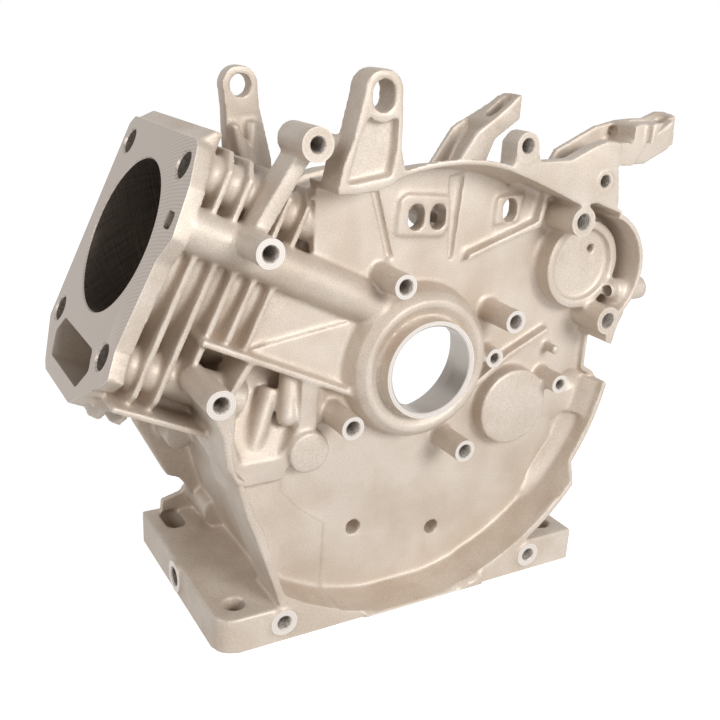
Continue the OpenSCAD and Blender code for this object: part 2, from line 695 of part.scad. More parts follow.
// Grey iron sleeve that the casting is poured around
module cylinder_liner() {
    color("#5B514A") along_cylinder() translate([0, 0, liner_start]) difference() {
        cylinder(r = liner_r, h = deck_height - liner_start);
        translate([0, 0, -1]) cylinder(d = bore_d, h = deck_height - liner_start + 2);
    }
}

crankcase();
cylinder_liner();
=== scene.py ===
import math

import bmesh
import bpy
import numpy as np
from mathutils import Matrix, Vector


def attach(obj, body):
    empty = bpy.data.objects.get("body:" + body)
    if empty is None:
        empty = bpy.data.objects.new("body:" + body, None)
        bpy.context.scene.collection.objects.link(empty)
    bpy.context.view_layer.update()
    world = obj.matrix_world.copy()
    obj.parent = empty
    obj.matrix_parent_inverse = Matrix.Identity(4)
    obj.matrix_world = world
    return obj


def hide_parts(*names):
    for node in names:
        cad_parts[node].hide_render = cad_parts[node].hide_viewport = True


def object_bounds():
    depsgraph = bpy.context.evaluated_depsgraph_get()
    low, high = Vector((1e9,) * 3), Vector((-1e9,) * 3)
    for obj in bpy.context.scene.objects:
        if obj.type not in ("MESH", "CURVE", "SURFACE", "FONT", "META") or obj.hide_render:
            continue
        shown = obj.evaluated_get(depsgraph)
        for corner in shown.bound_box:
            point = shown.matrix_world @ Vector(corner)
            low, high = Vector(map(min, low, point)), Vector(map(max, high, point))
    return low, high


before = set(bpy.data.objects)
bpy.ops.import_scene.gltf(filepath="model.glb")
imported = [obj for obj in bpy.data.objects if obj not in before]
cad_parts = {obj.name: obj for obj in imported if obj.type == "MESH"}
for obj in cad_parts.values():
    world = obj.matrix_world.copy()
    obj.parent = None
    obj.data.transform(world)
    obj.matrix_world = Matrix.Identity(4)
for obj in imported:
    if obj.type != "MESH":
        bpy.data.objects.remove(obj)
cad_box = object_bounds()

# Camera
# The product is shot from its left front corner, half a metre away and a little
# above its top, with a normal lens, and the camera is rolled by three degrees.
AZIMUTH, ELEVATION, ROLL = (math.radians(a) for a in (-30.246, 19.801, 2.969))
EYE = Vector((-0.254743, -0.364499, 0.163324))
FOCAL_MM, SENSOR_MM = 47.02, 36
backward = Vector((math.sin(AZIMUTH) * math.cos(ELEVATION),
                   -math.cos(AZIMUTH) * math.cos(ELEVATION), math.sin(ELEVATION)))
level = Vector((math.cos(AZIMUTH), math.sin(AZIMUTH), 0))
upward = backward.cross(level)
image_x = level * math.cos(ROLL) + upward * math.sin(ROLL)
image_y = upward * math.cos(ROLL) - level * math.sin(ROLL)
camera = bpy.data.objects.new("camera", bpy.data.cameras.new("camera"))
camera.data.sensor_width = SENSOR_MM
camera.data.lens = FOCAL_MM
camera.data.clip_start = 0.01
camera.matrix_world = (Matrix.Translation(EYE)
                       @ Matrix((image_x, image_y, backward)).transposed().to_4x4())
bpy.context.scene.collection.objects.link(camera)
bpy.context.scene.camera = camera

# Crankcase casting
# The real piece is one pressure die casting in aluminium, shot-blasted to a fine
# warm grey grain, with rounded edges and fillets where the die had radii. Screw
# faces, bores and the head deck are milled and drilled afterwards and stay crisp.
MM = 0.001
SKIN_VOXEL = 0.9
ALLOWANCE = 1.4
PLUG_OVERLAP = 0.7
TILT = math.radians(25)
DECK = 150.0
CYLINDER_Y = 70.0
LINER_R = 41.0
SEAL_R, SEAL_DEPTH = 23, 13
BEARING_R, BEARING_END = 31, 30
BASE_Z = -133
REAR_Y = 114
OUTWARD = Vector((-math.cos(TILT), 0, math.sin(TILT)))
ACROSS = Vector((math.sin(TILT), 0, math.cos(TILT)))


def on_cylinder(out, across, y):
    """Point in the row frame from the cylinder's own coordinates."""
    return OUTWARD * out + ACROSS * across + Vector((0, y, 0))


def lathe(bm, profile, base, axis, steps=32):
    """Closed solid of revolution: profile lists (radius, distance along axis) from axis to axis."""
    axis = Vector(axis).normalized()
    right = axis.orthogonal().normalized()
    up = axis.cross(right)
    turns = [2 * math.pi * i / steps for i in range(steps)]
    rings = []
    for radius, along in profile:
        centre = Vector(base) + axis * along
        if radius == 0:
            rings.append([bm.verts.new(centre)])
        else:
            rings.append([bm.verts.new(centre + (right * math.cos(a) + up * math.sin(a)) * radius)
                          for a in turns])
    for low, high in zip(rings, rings[1:]):
        for i in range(steps):
            j = (i + 1) % steps
            if len(low) == 1:
                bm.faces.new((low[0], high[i], high[j]))
            elif len(high) == 1:
                bm.faces.new((low[i], low[j], high[0]))
            else:
                bm.faces.new((low[i], low[j], high[j], high[i]))


def rod(bm, start, end, radius, steps=32):
    """Closed cylinder between two points."""
    start, end = Vector(start), Vector(end)
    length = (end - start).length
    lathe(bm, [(0, 0), (radius, 0), (radius, length), (0, length)], start, end - start, steps)


def prism(bm, outline, depth, place=lambda a, b, d: Vector((a, d, b))):
    """Closed prism on a flat outline between two depths; place turns (a, b, depth) into a point."""
    low = [bm.verts.new(place(a, b, depth[0])) for a, b in outline]
    high = [bm.verts.new(place(a, b, depth[1])) for a, b in outline]
    bm.faces.new(low)
    bm.faces.new(high)
    for i in range(len(outline)):
        j = (i + 1) % len(outline)
        bm.faces.new((low[i], low[j], high[j], high[i]))


def finish_solids(bm, name):
    """Object from the closed solids in bm, which is in millimetres."""
    bmesh.ops.recalc_face_normals(bm, faces=bm.faces)
    bmesh.ops.scale(bm, vec=(MM, MM, MM), verts=bm.verts)
    mesh = bpy.data.meshes.new(name)
    bm.to_mesh(mesh)
    bm.free()
    obj = bpy.data.objects.new(name, mesh)
    bpy.context.scene.collection.objects.link(obj)
    return obj


def settle(obj):
    """Turns obj and its modifiers into a plain mesh."""
    settled = obj.evaluated_get(bpy.context.evaluated_depsgraph_get())
    mesh = bpy.data.meshes.new_from_object(settled)
    old = obj.data
    obj.modifiers.clear()
    obj.data = mesh
    bpy.data.meshes.remove(old)


def cut_away(obj, cutter):
    """Cuts the cutter out of obj and removes it."""
    step = obj.modifiers.new("cut", "BOOLEAN")
    step.operation = "DIFFERENCE"
    step.solver = "MANIFOLD"
    step.object = cutter
    settle(obj)
    bpy.data.objects.remove(cutter)


def read_rows(items, name, width=3, dtype=np.float64):
    """One property of every mesh element, as an array with a row for each."""
    rows = np.empty(len(items) * width, dtype=dtype)
    items.foreach_get(name, rows)
    return rows.reshape(-1, width)


# Screw bosses: tip x, tip z, tip y, boss radius, hole radius and hole depth. The turned
# ones have a bright face, and the cast ones keep their blasted skin around the hole.
M8_TAP_R, M6_TAP_R = 3.4, 2.5
STATOR_RING_R = 51.5
stator_ring = [(STATOR_RING_R * math.cos(math.radians(a)), STATOR_RING_R * math.sin(math.radians(a)),
                -4.7, 6.2, M8_TAP_R, 16) for a in (25, 115, 205, 295)]
turned_bosses = stator_ring + [
    (-95.5, 70, -13, 6.8, M8_TAP_R, 16), (-118.6, 6.3, -16, 6.8, M8_TAP_R, 16),
    (-81, -121.7, -5.2, 7, M8_TAP_R, 16), (73.7, -122.2, -5.2, 7, M8_TAP_R, 16),
    (46.4, -2.6, 9, 5.5, M6_TAP_R, 9), (88, -21, 1.6, 5.5, M6_TAP_R, 10)]
cast_bosses = [
    (-70.3, 113.2, -4, 7.75, M8_TAP_R, 16), (43, 110.8, -4, 6.75, M8_TAP_R, 12),
    (84.8, 71.5, -4, 7.75, 4, 16), (111.9, 15.1, -4, 7.75, 4, 16), (96, 92, -4, 4.2, 3, 9)]
screw_bosses = turned_bosses + cast_bosses
HEAD_BOLT_R, HEAD_BOLT_DEPTH = 6.25, 66
head_bolts = [(42, 30), (42, 110), (-50, 30), (-50, 110)]
DRAIN, DRAIN_R = Vector((-117, 58, -122)), 5
SIDE_LUG, SIDE_LUG_R, SIDE_LUG_DEPTH = Vector((142, 6, 29)), 3.25, 24
deck_outline = [(-74, -30), (-60.5, -51), (-55, -57.5), (-43, -52), (0, -54.5), (12, -61.5), (35, -56.5),
                (52, -47), (54, -43), (54.5, 46), (50, 50.5), (-57, 50.5), (-76, 30), (-79, 24), (-79, -24)]
rod_passage = [(-51, 26), (-51, -26), (-60, -32), (-71, -24.5), (-71, 24.5), (-60, 32)]
oil_slot = [(14, -54), (14, -46), (18, -45), (22, -46), (22, -54), (18, -55)]
rear_outline = [(-130, -92), (-97, -92), (-88, -105), (-84, -112.5), (135, -112.5), (135, 92), (-58, 92),
                (-73, 58), (-92.5, 15.5), (-105, 5), (-130, -20)]
foot_pads = [((-115.5, 6), (-70, 119)), ((-105.5, -4), (-70, 7)), ((68, -4), (106, 119)),
             ((-71, -4), (69, 30))]


def deck_place(across, along, out):
    """Place of a prism point whose outline lies in the head deck."""
    return on_cylinder(out, across, CYLINDER_Y + along)


# Blank: the CAD solid, with its drilled holes plugged and metal left on for machining
casting = bpy.data.objects.new("casting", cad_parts["crankcase"].data.copy())
bpy.context.scene.collection.objects.link(casting)
bm = bmesh.new()
bm.from_mesh(casting.data)
bmesh.ops.remove_doubles(bm, verts=bm.verts, dist=1e-6)
bmesh.ops.scale(bm, vec=(1000, 1000, 1000), verts=bm.verts)
for x, z, tip, boss_r, hole_r, depth in screw_bosses:
    plug_r = hole_r + PLUG_OVERLAP
    lathe(bm, [(0, -ALLOWANCE), (boss_r, -ALLOWANCE), (boss_r, 1), (plug_r, 1), (plug_r, depth + 0.8),
               (0, depth + 0.8)], (x, tip, z), (0, 1, 0))
hub_plug = [(0, -ALLOWANCE), (26, -ALLOWANCE), (26, 12.4), (BEARING_R + PLUG_OVERLAP, 12.4),
            (BEARING_R + PLUG_OVERLAP, 26), (40, 26), (40, BEARING_END + 1.2), (0, BEARING_END + 1.2)]
lathe(bm, hub_plug, (0, 0, 0), (0, 1, 0), 96)
for across, y in head_bolts:
    rod(bm, on_cylinder(82.3, across, y), on_cylinder(DECK + ALLOWANCE, across, y), HEAD_BOLT_R + 0.95)
drain_face = DRAIN - Vector((ALLOWANCE, 0, 0))
rod(bm, drain_face, DRAIN + Vector((40, 0, 0)), DRAIN_R + 0.6)
rod(bm, drain_face, DRAIN + Vector((1, 0, 0)), 8.5)
rod(bm, SIDE_LUG - Vector((SIDE_LUG_DEPTH, 0, 0)), SIDE_LUG + Vector((0.2, 0, 0)), SIDE_LUG_R + 0.65)
low_z, high_z = BASE_Z - 1.2, BASE_Z + 1
for low, high in foot_pads:
    prism(bm, [(low[0], low_z), (high[0], low_z), (high[0], high_z), (low[0], high_z)], (low[1], high[1]))
deck_plate = bmesh.new()
prism(deck_plate, deck_outline, (DECK - 1, DECK + ALLOWANCE), deck_place)
deck_plate = finish_solids(deck_plate, "deck_plate")
cavities = bmesh.new()
for outline in (rod_passage, oil_slot):
    prism(cavities, outline, (DECK - 5, DECK + 5), deck_place)
cut_away(deck_plate, finish_solids(cavities, "cavities"))
bmesh.ops.scale(bm, vec=(MM, MM, MM), verts=bm.verts)
bm.from_mesh(deck_plate.data)
bpy.data.objects.remove(deck_plate)
bmesh.ops.recalc_face_normals(bm, faces=bm.faces)
bm.to_mesh(casting.data)
bm.free()
casting.data.materials.clear()

# Skin: one closed surface, with fillets grown in the corners and the edges rounded
remesh = casting.modifiers.new("skin", "REMESH")
remesh.mode = "VOXEL"
remesh.voxel_size = SKIN_VOXEL * MM
settle(casting)
FILLET_PASSES, EDGE_PASSES = 9, 2
FILLET_PULL, EDGE_PULL = 0.6, 0.5
NORMALS_EVERY = 3
SKIN_TRIANGLES = 150000
mesh = casting.data
count = len(mesh.vertices)
points = read_rows(mesh.vertices, "co")
tail, head = read_rows(mesh.edges, "vertices", 2, np.int64).T
tail, head = np.concatenate((tail, head)), np.concatenate((head, tail))
links = np.bincount(tail, minlength=count)[:, None]
for step in range(FILLET_PASSES):
    if step % NORMALS_EVERY == 0:
        mesh.vertices.foreach_set("co", points.ravel())
        mesh.update()
        normals = read_rows(mesh.vertex_normals, "vector")
    around = [np.bincount(tail, weights=points[head, i], minlength=count) for i in range(3)]
    pull = np.stack(around, 1) / links - points
    hollow = (pull * normals).sum(1) > 0
    points += pull * np.where(hollow, FILLET_PULL, EDGE_PULL if step < EDGE_PASSES else 0)[:, None]
mesh.vertices.foreach_set("co", points.ravel())
mesh.update()
decimate = casting.modifiers.new("thin", "DECIMATE")
decimate.ratio = SKIN_TRIANGLES / (2 * len(mesh.polygons))
settle(casting)


def add_node(tree, kind, links=(), **settings):
    """Adds a node, sets its properties and inputs by name, and links (input, output) pairs."""
    node = tree.nodes.new(kind)
    for key, value in settings.items():
        if hasattr(node, key):
            setattr(node, key, value)
        else:
            node.inputs[key.replace("_", " ")].default_value = value
    for name, source in links:
        tree.links.new(source, node.inputs[name])
    return node


def srgb(text):
    """Linear colour from an sRGB hex value."""
    parts = [int(text[i:i + 2], 16) / 255 for i in (1, 3, 5)]
    return tuple(v / 12.92 if v <= 0.04045 else ((v + 0.055) / 1.055) ** 2.4 for v in parts) + (1,)


def new_material(name, **settings):
    """A node material with its principled shader, set by input name, and its output."""
    material = bpy.data.materials.new(name)
    material.use_nodes = True
    tree = material.node_tree
    tree.nodes.clear()
    shader = add_node(tree, "ShaderNodeBsdfPrincipled", **settings)
    add_node(tree, "ShaderNodeOutputMaterial", [("Surface", shader.outputs[0])])
    return material, tree, shader


def two_tone(tree, source, low, high, colours):
    """Ramp between two colours while the source goes from low to high."""
    ramp = add_node(tree, "ShaderNodeValToRGB", [("Fac", source)])
    for end, position, colour in zip(ramp.color_ramp.elements, (low, high), colours):
        end.position, end.color = position, srgb(colour)
    return ramp.outputs[0]


def blend_by(tree, source, low, high):
    """Mix of two colours by the source."""
    mix = add_node(tree, "ShaderNodeMix", [(0, source)], data_type="RGBA")
    mix.inputs[6].default_value, mix.inputs[7].default_value = srgb(low), srgb(high)
    return mix.outputs[2]


# Shot-blasted die-cast aluminium: matt warm grey with a fine sparkling grain of about
# 0.3 mm, drawn at 0.65 mm so that it shows. Convex edges are painted near white: partly
# the paler blast where the shot hit hardest, partly a painted highlight.
blasted, tree, shader = new_material("shot_blasted_aluminium", Metallic=0.3, Roughness=0.52)
GRAIN_MM, CLOUD_MM, EDGE_MM = 0.65, 28.0, 1.6
place = add_node(tree, "ShaderNodeTexCoord").outputs["Object"]
grain = add_node(tree, "ShaderNodeTexNoise", [("Vector", place)], Scale=1 / (GRAIN_MM * MM),
                 Detail=2.0, Roughness=0.6)
cloud = add_node(tree, "ShaderNodeTexNoise", [("Vector", place)], Scale=1 / (CLOUD_MM * MM),
                 Detail=3.0, Roughness=0.5)
tone = two_tone(tree, grain.outputs[0], 0.32, 0.68, ("#CABDAF", "#DFD4C8"))
drift = two_tone(tree, cloud.outputs[0], 0.35, 0.62, ("#F0EBE6", "#FFFFFF"))
skin = add_node(tree, "ShaderNodeMix", [(6, tone), (7, drift)], data_type="RGBA",
                blend_type="MULTIPLY", Factor=1.0)
# Painted highlight: within 1.6 mm of a convex edge the colour goes towards near white, standing in for the
# sheen that light puts on rounded edges, besides their blast polish.
edge = add_node(tree, "ShaderNodeAmbientOcclusion", inside=True, samples=6, Distance=EDGE_MM * MM)
polish_and_highlight = add_node(tree, "ShaderNodeMapRange", [("Value", edge.outputs["AO"])], From_Min=0.75,
                From_Max=0.35, To_Min=0.0, To_Max=0.7)
pale = add_node(tree, "ShaderNodeMix", [(0, polish_and_highlight.outputs[0]), (6, skin.outputs[2])], data_type="RGBA")
pale.inputs[7].default_value = srgb("#F7EFE3")
tree.links.new(pale.outputs[2], shader.inputs["Base Color"])
bump = add_node(tree, "ShaderNodeBump", [("Height", grain.outputs[0])], Strength=0.35, Distance=0.15 * MM)
tree.links.new(bump.outputs[0], shader.inputs["Normal"])

# Face-milled aluminium: a taupe sheen crossed by the cutter's faint arcs. A real feed
# mark is 0.3 mm wide, drawn 1.8 mm apart so that it shows.
milled, tree, shader = new_material("face_milled_aluminium", Metallic=0.75, Roughness=0.36)
FEED_MM, CUTTER_MM = 1.8, 70.0
place = add_node(tree, "ShaderNodeTexCoord").outputs["Object"]
centre = add_node(tree, "ShaderNodeMapping", [("Vector", place)],
                  Location=[-c * MM for c in on_cylinder(DECK, -CUTTER_MM, CYLINDER_Y - CUTTER_MM)])
arcs = add_node(tree, "ShaderNodeTexWave", [("Vector", centre.outputs[0])], wave_type="RINGS",
                rings_direction="SPHERICAL", Scale=2 * math.pi / (20 * FEED_MM * MM), Distortion=1.5,
                Detail=2.0)
tone = two_tone(tree, arcs.outputs["Fac"], 0, 1, ("#ACA096", "#BDB1A7"))
tree.links.new(tone, shader.inputs["Base Color"])
bump = add_node(tree, "ShaderNodeBump", [("Height", arcs.outputs["Fac"])], Strength=0.12,
                Distance=0.02 * MM)
tree.links.new(bump.outputs[0], shader.inputs["Normal"])

# Turned screw faces and bores: bright cut metal, in rings 0.9 mm apart around each axis.
turned, tree, shader = new_material("turned_aluminium_ring", Metallic=0.55, Roughness=0.34)
TURN_MM = 0.9
reach = add_node(tree, "ShaderNodeAttribute", attribute_name="turn")
phase = add_node(tree, "ShaderNodeMath", [(0, reach.outputs["Fac"])], operation="MULTIPLY")
phase.inputs[1].default_value = 2 * math.pi / TURN_MM
ripple = add_node(tree, "ShaderNodeMath", [(0, phase.outputs[0])], operation="SINE")
tone = add_node(tree, "ShaderNodeMapRange", [("Value", ripple.outputs[0])], From_Min=-1.0, From_Max=1.0)
tree.links.new(blend_by(tree, tone.outputs[0], "#C9C1B9", "#E6DFD8"), shader.inputs["Base Color"])
bump = add_node(tree, "ShaderNodeBump", [("Height", ripple.outputs[0])], Strength=0.2, Distance=0.02 * MM)
tree.links.new(bump.outputs[0], shader.inputs["Normal"])

# Tapped and drilled holes: bare cut aluminium mottled in patches of about 1 mm, in a grey darker than the
# turned faces, partly painted shade for the dim inside of the holes.
tapped, tree, shader = new_material("tapped_aluminium_thread", Metallic=0.6, Roughness=0.42)
MOTTLE_MM = 1.2
place = add_node(tree, "ShaderNodeTexCoord").outputs["Object"]
mottle = add_node(tree, "ShaderNodeTexNoise", [("Vector", place)], Scale=1 / (MOTTLE_MM * MM), Detail=2.0)
# Painted shade: the hole walls take darker greys than the cut faces around them.
tone = two_tone(tree, mottle.outputs[0], 0.35, 0.65, ("#9C9186", "#C9C1B8"))
tree.links.new(tone, shader.inputs["Base Color"])

# Machining: faces and holes are cut crisp
HOLE_FACETS, BORE_FACETS = 28, 128
CHAMFER = 0.6
cutters = bmesh.new()
for x, z, tip, boss_r, hole_r, depth in screw_bosses:
    face_r = boss_r + 1.4
    lathe(cutters, [(0, -3), (face_r, -3), (face_r, 0), (hole_r + CHAMFER, 0), (hole_r, CHAMFER),
                    (hole_r, depth), (0, depth + 0.5)], (x, tip, z), (0, 1, 0), HOLE_FACETS)
hub_bore = [(0, -3), (27.2, -3), (27.2, 0), (SEAL_R + 0.7, 0), (SEAL_R, 0.7), (SEAL_R, SEAL_DEPTH),
            (BEARING_R, SEAL_DEPTH), (BEARING_R, BEARING_END - 0.5), (BEARING_R + 0.5, BEARING_END),
            (41.5, BEARING_END), (41.5, BEARING_END + 3), (0, BEARING_END + 3)]
lathe(cutters, hub_bore, (0, 0, 0), (0, 1, 0), BORE_FACETS)
lathe(cutters, [(0, -3), (10, -3), (10, 0), (DRAIN_R + 0.7, 0), (DRAIN_R, 0.7), (DRAIN_R, 41), (0, 43)],
      DRAIN, (1, 0, 0))
rod(cutters, SIDE_LUG + Vector((1, 0, 0)), SIDE_LUG - Vector((SIDE_LUG_DEPTH + 2, 0, 0)), SIDE_LUG_R)
prism(cutters, [(-125, BASE_Z - 4), (115, BASE_Z - 4), (115, BASE_Z), (-125, BASE_Z)], (-10, 125))
prism(cutters, rear_outline, (REAR_Y, REAR_Y + 4))
cut_away(casting, finish_solids(cutters, "cutters"))
slab = bmesh.new()
prism(slab, [(-92, -68), (66, -68), (66, 62), (-92, 62)], (DECK, DECK + 8), deck_place)
cut_away(casting, finish_solids(slab, "slab"))
cutters = bmesh.new()
for across, y in head_bolts:
    lathe(cutters, [(0, -2), (7.2, -2), (7.2, 0), (HEAD_BOLT_R, 0.9), (HEAD_BOLT_R, HEAD_BOLT_DEPTH),
                    (0, HEAD_BOLT_DEPTH + 3)], on_cylinder(DECK, across, y), -OUTWARD)
rod(cutters, on_cylinder(40, 0, CYLINDER_Y), on_cylinder(DECK + 2, 0, CYLINDER_Y), LINER_R, BORE_FACETS)
cut_away(casting, finish_solids(cutters, "cutters"))

# Threads: one ring is cut out of the wall at every pitch, in every screw boss. 1.25 mm is
# the pitch of M8, and the smaller holes take it too. The tree copies the rings.
THREAD_PITCH, THREAD_SHARE, RING_SHARE = 1.25, 0.12, 0.8
THREAD_START, THREAD_RUNOUT = 1.6, 2
thread = bpy.data.node_groups.new("thread_turns", "GeometryNodeTree")
for name, kind in (("Holes", "Geometry"), ("Pitch", "Float"), ("Share", "Float"), ("Facets", "Int"),
                   ("Metal", "Material")):
    thread.interface.new_socket(name, in_out="INPUT", socket_type="NodeSocket" + kind)
thread.interface.new_socket("Rings", in_out="OUTPUT", socket_type="NodeSocketGeometry")
given = add_node(thread, "NodeGroupInput").outputs
turns = add_node(thread, "GeometryNodeInputNamedAttribute", data_type="INT", Name="turns")
radius = add_node(thread, "GeometryNodeInputNamedAttribute", data_type="FLOAT", Name="radius")
copies = add_node(thread, "GeometryNodeDuplicateElements", [
    ("Geometry", given["Holes"]), ("Amount", turns.outputs["Attribute"])], domain="POINT")
down = add_node(thread, "ShaderNodeMath", [
    (0, copies.outputs["Duplicate Index"]), (1, given["Pitch"])], operation="MULTIPLY")
down = add_node(thread, "ShaderNodeCombineXYZ", [("Y", down.outputs[0])])
spots = add_node(thread, "GeometryNodeSetPosition", [
    ("Geometry", copies.outputs["Geometry"]), ("Offset", down.outputs[0])])
height = add_node(thread, "ShaderNodeMath", [(0, given["Pitch"])], operation="MULTIPLY")
height.inputs[1].default_value = RING_SHARE
ring = add_node(thread, "GeometryNodeMeshCylinder", [
    ("Vertices", given["Facets"]), ("Depth", height.outputs[0])], Side_Segments=2, Radius=1.0)
where = add_node(thread, "GeometryNodeInputPosition")
level = add_node(thread, "ShaderNodeSeparateXYZ", [("Vector", where.outputs[0])])
level = add_node(thread, "ShaderNodeMath", [(0, level.outputs["Z"])], operation="ABSOLUTE")
middle = add_node(thread, "FunctionNodeCompare", [("A", level.outputs[0])], data_type="FLOAT",
                  operation="LESS_THAN", B=0.1 * MM)
spread = add_node(thread, "ShaderNodeCombineXYZ", [("X", given["Share"]), ("Y", given["Share"])])
spread = add_node(thread, "ShaderNodeVectorMath", [
    (0, where.outputs[0]), (1, spread.outputs[0])], operation="MULTIPLY")
ring = add_node(thread, "GeometryNodeSetPosition", [
    ("Geometry", ring.outputs["Mesh"]), ("Selection", middle.outputs[0]), ("Offset", spread.outputs[0])])
ring = add_node(thread, "GeometryNodeTransform", [("Geometry", ring.outputs[0])],
                Rotation=(math.pi / 2, 0, 0))
size = add_node(thread, "ShaderNodeCombineXYZ", [
    ("X", radius.outputs["Attribute"]), ("Z", radius.outputs["Attribute"])], Y=1.0)
rings = add_node(thread, "GeometryNodeInstanceOnPoints", [
    ("Points", spots.outputs[0]), ("Instance", ring.outputs[0]), ("Scale", size.outputs[0])])
rings = add_node(thread, "GeometryNodeRealizeInstances", [("Geometry", rings.outputs[0])])
rings = add_node(thread, "GeometryNodeSetMaterial", [
    ("Geometry", rings.outputs[0]), ("Material", given["Metal"])])
add_node(thread, "NodeGroupOutput", [("Rings", rings.outputs[0])])
starts, turn_counts, radii = [], [], []
for x, z, tip, boss_r, hole_r, depth in screw_bosses:
    starts.append((x * MM, (tip + THREAD_START) * MM, z * MM))
    turn_counts.append(int((depth - THREAD_RUNOUT) / THREAD_PITCH))
    radii.append(hole_r * MM)
holes = bpy.data.meshes.new("tapped_holes")
holes.from_pydata(starts, [], [])
holes.attributes.new("turns", "INT", "POINT").data.foreach_set("value", turn_counts)
holes.attributes.new("radius", "FLOAT", "POINT").data.foreach_set("value", radii)
holes = bpy.data.objects.new("tapped_holes", holes)
bpy.context.scene.collection.objects.link(holes)
tap = holes.modifiers.new("turns", "NODES")
tap.node_group = thread
chosen = {"Pitch": THREAD_PITCH * MM, "Share": THREAD_SHARE, "Facets": HOLE_FACETS, "Metal": tapped}
for socket in thread.interface.items_tree:
    if socket.name in chosen:
        tap[socket.identifier] = chosen[socket.name]
settle(holes)
cut_away(casting, holes)

# Each face takes the material of the tool that made it
casting.data.materials.clear()
for material in (blasted, milled, turned, tapped):
    casting.data.materials.append(material)
MILLED, TURNED, TAPPED = 1, 2, 3
ON_FACE = 0.05
mesh = casting.data
faces = len(mesh.polygons)
centres = read_rows(mesh.polygons, "center") * 1000
normals = read_rows(mesh.polygons, "normal")
slots = np.zeros(faces, dtype=np.int32)
outward, across = np.array(OUTWARD), np.array(ACROSS)
out, over = centres @ outward, centres @ across
from_axis = np.hypot(centres[:, 0], centres[:, 2])
behind = centres[:, 1]
on_deck = (np.abs(out - DECK) < ON_FACE) & (normals @ outward > 0.99)
on_rear = (np.abs(behind - REAR_Y) < ON_FACE) & (normals[:, 1] > 0.99)
on_base = (np.abs(centres[:, 2] - BASE_Z) < ON_FACE) & (normals[:, 2] < -0.99)
slots[on_deck | on_rear | on_base] = MILLED
for boss in screw_bosses:
    x, z, tip, boss_r, hole_r, depth = boss
    away = np.hypot(centres[:, 0] - x, centres[:, 2] - z)
    deep = behind - tip
    if boss in turned_bosses:
        slots[(away < boss_r + 1.3) & (np.abs(deep) < ON_FACE)] = TURNED
    slots[(away < hole_r + 0.5) & (deep > 0.04) & (deep < depth + 1)] = TAPPED
slots[(from_axis < 27) & (np.abs(behind) < ON_FACE)] = TURNED
slots[(np.abs(from_axis - SEAL_R - 0.3) < 0.5) & (behind > 0.01) & (behind < SEAL_DEPTH + 0.1)] = TURNED
slots[(from_axis < BEARING_R + 0.3) & (behind > SEAL_DEPTH - 0.1) & (behind < BEARING_END + 0.1)] = TURNED
slots[(np.abs(from_axis - 36) < 6) & (np.abs(behind - BEARING_END) < ON_FACE)] = TURNED
away = np.hypot(behind - DRAIN.y, centres[:, 2] - DRAIN.z)
inward = centres[:, 0] - DRAIN.x
slots[(away < 10) & (np.abs(inward) < ON_FACE)] = TURNED
slots[(away < DRAIN_R + 0.8) & (inward > 0.03) & (inward < 44)] = TAPPED
for across_at, y in head_bolts:
    away = np.hypot(over - across_at, behind - y)
    slots[(away < 7.25) & (out < DECK - 0.03) & (out > 80)] = TAPPED
mesh.polygons.foreach_set("material_index", slots)

# The rings of a turned face go by the distance to its boss's axis, or else the crankshaft's
spots = read_rows(mesh.vertices, "co") * 1000
nearest = np.hypot(spots[:, 0], spots[:, 2])
for x, z, tip, boss_r, hole_r, depth in screw_bosses:
    away = np.hypot(spots[:, 0] - x, spots[:, 2] - z)
    nearest = np.where(away < boss_r + 2, away, nearest)
mesh.attributes.new("turn", "FLOAT", "POINT").data.foreach_set("value", nearest)
mesh.update()
mesh.set_sharp_from_angle(angle=math.radians(38))
mesh.polygons.foreach_set("use_smooth", np.ones(faces, dtype=bool))
mesh.update()
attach(casting, "root")
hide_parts("crankcase")

# Cylinder liner
# A grey iron sleeve that the casting is poured around. Its bore is honed, which
# leaves dark iron crossed by fine scratches, and its top is milled with the deck.
BORE_R, LINER_START = 38.5, 48.0
SLEEVE_STEPS = 160
sleeve = bmesh.new()
profile = [(BORE_R, DECK - 0.8), (BORE_R + 0.5, DECK), (LINER_R, DECK), (LINER_R, LINER_START),
           (BORE_R + 0.8, LINER_START), (BORE_R, LINER_START + 1.5)]
profile += [(BORE_R, LINER_START + 1.5 + 20.0 * i) for i in range(1, 5)]
turns = [2 * math.pi * i / SLEEVE_STEPS for i in range(SLEEVE_STEPS)]
rings = [[sleeve.verts.new(on_cylinder(along, r * math.cos(a), CYLINDER_Y + r * math.sin(a))) for a in turns]
         for r, along in profile]
unrolled = sleeve.loops.layers.uv.new("unrolled")
for k in range(len(profile)):
    low, high = rings[k], rings[(k + 1) % len(rings)]
    near, far = profile[k][1], profile[(k + 1) % len(profile)][1]
    for i in range(SLEEVE_STEPS):
        j = (i + 1) % SLEEVE_STEPS
        face = sleeve.faces.new((low[i], low[j], high[j], high[i]))
        for loop, step, along in zip(face.loops, (i, i + 1, i + 1, i), (near, near, far, far)):
            loop[unrolled].uv = (2 * math.pi * BORE_R * step / SLEEVE_STEPS, along)
liner = finish_solids(sleeve, "liner")

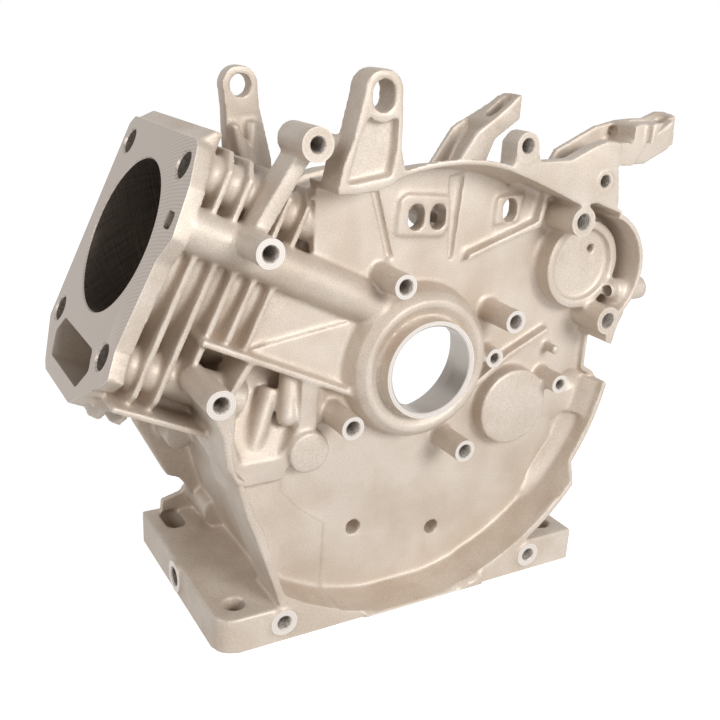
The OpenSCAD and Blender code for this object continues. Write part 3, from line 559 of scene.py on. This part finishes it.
# Honed grey iron: dark, half polished, with the stones' scratches 35 degrees to either
# side of the way round. They are 0.05 mm wide, drawn 0.7 mm wide so that they show.
honed, tree, shader = new_material("honed_grey_iron", Metallic=0.8)
SCRATCH_MM, SCRATCH_LENGTH_MM, HONE_ANGLE = 0.7, 30.0, math.radians(35)
sheet = add_node(tree, "ShaderNodeUVMap", uv_map="unrolled")
scratches = []
for turn in (-HONE_ANGLE, HONE_ANGLE):
    lay = add_node(tree, "ShaderNodeMapping", [("Vector", sheet.outputs[0])], Rotation=(0, 0, turn))
    drawn = add_node(tree, "ShaderNodeMapping", [("Vector", lay.outputs[0])],
                     Scale=(1 / SCRATCH_LENGTH_MM, 1 / SCRATCH_MM, 1))
    scratches.append(add_node(tree, "ShaderNodeTexNoise", [("Vector", drawn.outputs[0])], Scale=1.0,
                              Detail=3.0, Roughness=0.6))
crossed = add_node(tree, "ShaderNodeMath", [
    (0, scratches[0].outputs[0]), (1, scratches[1].outputs[0])], operation="ADD")
tone = add_node(tree, "ShaderNodeMapRange", [("Value", crossed.outputs[0])], From_Min=0.75, From_Max=1.25)
tree.links.new(blend_by(tree, tone.outputs[0], "#51473F", "#9C9085"), shader.inputs["Base Color"])
dull = add_node(tree, "ShaderNodeMapRange", [("Value", crossed.outputs[0])], From_Min=0.75,
                From_Max=1.25, To_Min=0.5, To_Max=0.3)
tree.links.new(dull.outputs[0], shader.inputs["Roughness"])
liner.data.materials.append(honed)
liner.data.materials.append(milled)
for polygon in liner.data.polygons:
    polygon.use_smooth = True
    polygon.material_index = int((polygon.center * 1000).dot(OUTWARD) > DECK - 0.5)
liner.data.set_sharp_from_angle(angle=math.radians(30))
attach(liner, "root")
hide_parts("cylinder_liner")

# Studio
# A plain white floor and backdrop, a soft lamp ahead of the part on its right, and a
# weaker one high on the left, so the front faces are the brightest.
FLOOR_GAP, FLOOR_HALF = 0.0002, 5
FLOOR_GLOW, SKY_DIM = 0.88, 0.2


def seen_rays(tree):
    """1 for rays that show the white studio, and 0 for rays that gather light for the part."""
    path = add_node(tree, "ShaderNodeLightPath").outputs
    seen = add_node(tree, "ShaderNodeMath", [
        (0, path["Is Camera Ray"]), (1, path["Is Glossy Ray"])], operation="MAXIMUM")
    seen = add_node(tree, "ShaderNodeMath", [
        (0, seen.outputs[0]), (1, path["Is Transmission Ray"])], operation="MAXIMUM")
    return seen.outputs[0]


floor_z = cad_box[0][2] - FLOOR_GAP
stage = bmesh.new()
for x, y in ((-1, -1), (1, -1), (1, 1), (-1, 1)):
    stage.verts.new((x * FLOOR_HALF / MM, y * FLOOR_HALF / MM, floor_z / MM))
stage.faces.new(list(stage.verts))
floor = finish_solids(stage, "floor")
white, tree, shader = new_material("white_floor", Base_Color=(0.5, 0.5, 0.5, 1), Roughness=0.9,
                                   Emission_Color=(1, 1, 1, 1))
glow = add_node(tree, "ShaderNodeMath", [(0, seen_rays(tree))], operation="MULTIPLY")
glow.inputs[1].default_value = FLOOR_GLOW
tree.links.new(glow.outputs[0], shader.inputs["Emission Strength"])
floor.data.materials.append(white)

world = bpy.data.worlds.new("studio")
bpy.context.scene.world = world
world.use_nodes = True
tree = world.node_tree
tree.nodes.clear()
dim = add_node(tree, "ShaderNodeBackground", Color=(1, 1, 1, 1), Strength=SKY_DIM)
bright = add_node(tree, "ShaderNodeBackground", Color=(1, 1, 1, 1), Strength=1.0)
sky = add_node(tree, "ShaderNodeMixShader", [
    (0, seen_rays(tree)), (1, dim.outputs[0]), (2, bright.outputs[0])])
add_node(tree, "ShaderNodeOutputWorld", [("Surface", sky.outputs[0])])


def softbox(name, at, size, power):
    """A round soft lamp that faces the part."""
    lamp = bpy.data.lights.new(name, "AREA")
    lamp.shape = "DISK"
    lamp.size = size
    lamp.energy = power
    obj = bpy.data.objects.new(name, lamp)
    obj.location = at
    obj.rotation_euler = (Vector((0, 0.05, 0)) - Vector(at)).to_track_quat("-Z", "Y").to_euler()
    bpy.context.scene.collection.objects.link(obj)


softbox("key_lamp", (0.35, -1.5, 0.65), 0.7, 21)
softbox("left_lamp", (-1.5, -0.4, 0.9), 1.0, 8)

bpy.context.scene.view_settings.view_transform = "Standard"
